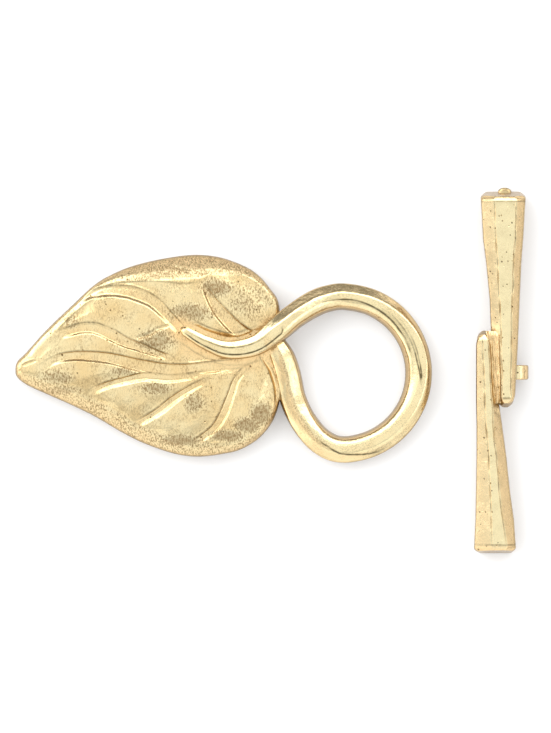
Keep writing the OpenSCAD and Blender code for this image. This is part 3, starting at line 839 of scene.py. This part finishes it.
# The bevels on the broad and the narrow end: how far in they reach and how deep they go;
# how far the narrow end face leans back, and how far in both ends' lean is felt
broad_bevel, narrow_bevel = 0.80, 0.85
broad_drop, narrow_drop = 0.26, 0.26
narrow_lean = 0.60
broad_lean_reach, narrow_lean_reach = 2.2, 1.8
edge_round, bevel_round, back_round = 0.12, 0.3, 0.4
crease_deep, crevice_deep = 0.07, 0.60
# Each wedge's hand-dressed edges waver in their own way
upper_waver, lower_waver = 3, 8
upper_wedge = [
    # along, left, front_left, front_right, right
    (0.00, -0.375, -0.080, 0.445, 0.652), (0.22, -0.318, -0.034, 0.409, 0.591),
    (0.33, -0.250, 0.000, 0.375, 0.548), (0.50, -0.170, 0.045, 0.340, 0.511),
    (0.71, -0.130, 0.086, 0.318, 0.470), (0.95, -0.050, 0.110, 0.314, 0.407),
    (1.00, 0.034, 0.136, 0.284, 0.340)]
lower_wedge = [
    (0.00, -0.523, -0.123, 0.239, 0.432), (0.15, -0.489, -0.136, 0.125, 0.384),
    (0.27, -0.477, -0.164, 0.057, 0.298), (0.43, -0.466, -0.195, -0.016, 0.214),
    (0.57, -0.466, -0.259, -0.090, 0.120), (0.68, -0.477, -0.282, -0.114, 0.040),
    (0.94, -0.477, -0.330, -0.195, -0.060), (1.00, -0.430, -0.350, -0.240, -0.140)]
bar_right = upper_wedge[4][4] * wedge_wide + bar_loop_out
bar_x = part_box("toggle_bar")[1].x / mm - bar_right
bar_y = -nub_high / 2
lower_long = (bar_long + bar_lap + wedge_more) / 2
upper_long = lower_long - wedge_more
wedges = (
    # rows, length, where its broad end lies, which way it runs, waver, lean of its broad end
    (upper_wedge, upper_long, bar_long / 2, -1, upper_waver, 0.70),
    (lower_wedge, lower_long, -bar_long / 2, 1, lower_waver, 0.45))


def rounded(corners, radii, steps=4):
    """The corners of a section, each turned into a short curve."""
    corners = np.asarray(corners, float)
    out = []
    for k, radius in enumerate(radii):
        here, before, after = corners[k], corners[k - 1], corners[(k + 1) % len(corners)]
        back, on = before - here, after - here
        start = here + back * min(radius / max(np.hypot(*back), 1e-6), 0.45)
        stop = here + on * min(radius / max(np.hypot(*on), 1e-6), 0.45)
        for u in np.linspace(0, 1, steps):
            out.append((1 - u) ** 2 * start + 2 * u * (1 - u) * here + u ** 2 * stop)
    return np.array(out)


def wedge_edges(rows, long, d, waver):
    """Across positions of a wedge's left side, front edges and right side, at a distance
    from its broad end. The edges were dressed by hand and waver a little."""
    rows, phase = np.asarray(rows), np.random.default_rng(waver).random((2, 3)) * 6.28
    left, fl, fr, right = (np.interp(d / long, rows[:, 0], rows[:, k]) * wedge_wide
                           for k in (1, 2, 3, 4))
    fl, fr = (edge + 0.03 * np.sin(d * 0.9 + a) + 0.014 * np.sin(d * 2.3 + b)
              + 0.005 * np.sin(d * 6 + c) for edge, (a, b, c) in zip((fl, fr), phase))
    return left, fl, fr, right


def wedge(name, rows, long, end_y, way, waver, broad_lean):
    """A tapered eight-sided wedge; way is -1 where it runs towards the front. Where it
    lies beside the other wedge, its side falls away into the crevice between them."""
    # Distances from the broad end, close together where both ends are bevelled
    stops = np.concatenate([
        [0, 0.04, 0.1, 0.18, 0.28, 0.4, 0.55, 0.79, 0.81, 0.95, 1.1, 1.3],
        np.linspace(1.7, long - 1.9, 120),
        long - np.array([1.5, 1.2, 1.0, 0.86, 0.84, 0.7, 0.5, 0.36, 0.24, 0.14, 0.06, 0])])
    points = []
    for d in stops:
        left, fl, fr, right = wedge_edges(rows, long, d, waver)
        to_far = long - d
        thick = wedge_thick + (wedge_thin - wedge_thick) * d / long
        low, high = wedge_thick - thick, wedge_thick
        # The end faces lean back, and a bevel takes off their front edges
        high -= (broad_drop * max(0, 1 - d / broad_bevel)
                 + narrow_drop * max(0, 1 - to_far / narrow_bevel))
        left_top = high - (fl - left) * math.tan(left_fall)
        right_top = high - (right - fr) * math.tan(right_fall)
        side_low = low + side_back * thick - 0.5 * (wedge_thick - high)
        deep = crevice_deep * float(ease(bar_lap + 1.5, bar_lap - 0.8, to_far))
        section = rounded(
            [(fl, high), (fr, high), (right, right_top - deep * (way > 0)), (right, side_low),
             (right + (fr - right) * 0.25, low), (left + (fl - left) * 0.25, low),
             (left, side_low), (left, left_top - deep * (way < 0))],
            (edge_round, edge_round, bevel_round) + (back_round,) * 4 + (bevel_round,))
        # A fine crease runs along both edges of the front face
        crease = crease_deep * max(0, 1 - 0.6 / (0.01 + min(d, to_far)))
        section[1:3, 1] -= crease * (1 + 0.3 * math.sin(d * 1.7 + waver))
        section[5:7, 1] -= crease * (1 + 0.3 * math.sin(d * 1.3 + waver))
        middle = np.array([(left + right) / 2, (low + high) / 2])
        tuck = max(0, 1 - min(d, to_far) / 0.5) ** 2
        section += (middle - section) * (0.42 / max(0.6, (right - left) / 2), 0.04) * tuck
        lean = broad_lean * max(0, 1 - d / broad_lean_reach)
        far_lean = narrow_lean * max(0, 1 - to_far / narrow_lean_reach)
        for c, h in section:
            level = (h - low) / thick
            points.append((bar_x + c, bar_y + end_y + way * (d + (lean - far_lean) * level), h))
    n = len(section)
    faces = [tuple(range(n)), tuple((len(stops) - 1) * n + k for k in range(n - 1, -1, -1))]
    faces += tube_faces(len(stops), n)
    return cast_piece(name, points, faces, bar_gold)


def crevice_sides(y):
    """Across positions of the two front edges on either side of the crevice."""
    return (wedge_edges(lower_wedge, lower_long, bar_long / 2 + y, lower_waver)[2],
            wedge_edges(upper_wedge, upper_long, bar_long / 2 - y, upper_waver)[1])


bar = wedge("toggle_bar_casting", *wedges[0])
lower = wedge("lower_wedge", *wedges[1])
# The crevice's floor, with a bead of metal down its middle, sinks away at both ends
crevice_floor = curve_points([
    # share of the way across, depth
    (-0.06, 0.9), (-0.05, 0.15), (0.08, 0.24), (0.24, 0.36), (0.37, 0.33), (0.50, 0.24),
    (0.63, 0.32), (0.76, 0.36), (0.92, 0.25), (1.06, 0.17), (1.08, 0.9)], 51)
crevice_low, crevice_high, crevice_count = -bar_lap / 2 + 0.9, bar_lap / 2 + 0.35, 90
sink_most, sink_from, sink_run = 0.25, 3.6, 0.9
crevice_points = []
for y in np.linspace(crevice_low, crevice_high, crevice_count):
    lower_fr, upper_fl = crevice_sides(y)
    sway = 0.05 * math.sin(y * 1.9) + 0.02 * math.sin(y * 5.3)
    start, stop = lower_fr - 0.02, upper_fl - 0.28
    to_middle = abs(y - (crevice_low + crevice_high) / 2)
    sink = sink_most * max(0.0, (to_middle - sink_from) / sink_run) ** 2
    for a, deep in crevice_floor:
        x = bar_x + start + (a + sway * (0 < a < 1)) * (stop - start)
        z = wedge_thick - deep - sink * (deep < 0.8)
        crevice_points.append((x, bar_y + y, z))
crevice = cast_piece("crevice_floor", crevice_points,
                     closed_tube(crevice_count, len(crevice_floor)), bar_gold)
# The bar's loop, and its root up into the back of the wedge
bar_hole, bar_loop_wall, bar_loop_thick = 1.4, 0.75, 1.75
bar_loop_radius = bar_hole / 2 + bar_loop_wall
bar_loop_x = bar_x + bar_right - bar_loop_radius
bar_loop = turned_loop("bar_loop", (bar_loop_x, bar_y, floor_clear + bar_loop_radius),
                       bar_hole, bar_loop_wall, bar_loop_thick, bar_gold)
root_inset = 0.1
root_high = wedge_thick - wedge_thin / 2
root_low = floor_clear + bar_loop_radius + bar_hole / 2 + root_inset
root_left, root_right = bar_loop_x - bar_loop_radius, bar_loop_x - root_inset
root = cast_piece("loop_root", [
    (x, bar_y + y * (bar_loop_thick / 2 - root_inset), z) for z in (root_low, root_high)
    for x, y in ((root_left, -1), (root_right, -1), (root_right, 1), (root_left, 1))],
    closed_tube(2, 4), bar_gold)
# The stub of the feed, a low button on the upper end face
nub_x = bar_x + (upper_wedge[0][2] + upper_wedge[0][3]) / 2 * wedge_wide
nub_top = bar_y + bar_long / 2 + nub_high
nub_points, nub_sides = [], 40
nub_rings = (
    # how far in from its top, share of its half width
    (nub_wide, 1.0), (0.42, 1.0), (0.30, 0.92), (0.18, 0.78), (0.08, 0.58), (0.02, 0.34),
    (0, 0.15))
for inward, r in nub_rings:
    for s in range(nub_sides):
        t = 2 * math.pi * s / nub_sides
        nub_points.append((nub_x + r * nub_wide / 2 * math.cos(t), nub_top - inward,
                           floor_clear + 0.40 + r * 0.30 * math.sin(t)))
nub = cast_piece("feed_stub", nub_points, closed_tube(len(nub_rings), nub_sides), bar_gold)
fuse(bar, lower, crevice, bar_loop, root, nub)
bar.data.set_sharp_from_angle(angle=math.radians(11))
# Light and shade are painted on: the crevice is painted deeper in tone as shade and bounce
# light, the feed's stub is tinted deeper and darker, and fine dark lines of painted shade
# run along the facets' edges, the sides and the crevice
spots = skin_spots(bar) - np.array([bar_x, bar_y, 0])
sunk = wedge_thick - spots[:, 2]
lower_fr, upper_fl = crevice_sides(spots[:, 1])
in_crevice = (spots[:, 0] > lower_fr + 0.02) * (spots[:, 0] < upper_fl - 0.22)
hollow = in_crevice * (1.0 + 1.0 * ease(0.18, 0.32, sunk)) * (sunk < 1.6)
hollow *= ease(bar_lap / 2 + 0.7, bar_lap / 2 - 0.9, np.abs(spots[:, 1] - wedge_more / 2))
on_stub = spots[:, 1] > bar_long / 2 + 0.02
hollow = np.maximum(hollow, 1.5 * on_stub)
line = np.maximum(0.2 * in_crevice * ease(0.27, 0.31, sunk) * (sunk < 1.0), 0.7 * on_stub)
for rows, long, end_y, way, waver, lean in wedges:
    d = (spots[:, 1] - end_y) * way
    left, fl, fr, right = wedge_edges(rows, long, d, waver)
    off = np.minimum(np.abs(spots[:, 0] - fl), np.abs(spots[:, 0] - fr))
    edge = np.exp(-(off / 0.09) ** 2) * (sunk < 0.3)
    edge *= ease(0.8, 1.4, d) * ease(0.6, 1.2, long - d) * (0.8 + 0.2 * np.sin(d * 2.1 + waver))
    # and across, behind the bevel of the broad end and of the upper wedge's narrow end
    start = broad_bevel + lean * (1 - broad_bevel / broad_lean_reach)
    over = np.exp(-((d - start) / 0.07) ** 2) * (spots[:, 0] > left) * (spots[:, 0] < right)
    over += ((way < 0) * np.exp(-((long - d - 1.12) / 0.12) ** 2)
             * (spots[:, 0] > fl) * (spots[:, 0] < fr))
    side = np.minimum(np.abs(spots[:, 0] - left), np.abs(spots[:, 0] - right))
    side = np.exp(-(side / 0.11) ** 2) * (d > 0.2) * (d < long - 0.2) * (sunk < 1.6)
    line = np.maximum(line, np.maximum(0.75 * edge, 0.8 * over * (sunk < 1.2)) + 0.5 * side)
keep_marks(bar, hollow=hollow, line=line)
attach(bar, "root")
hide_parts("toggle_bar")
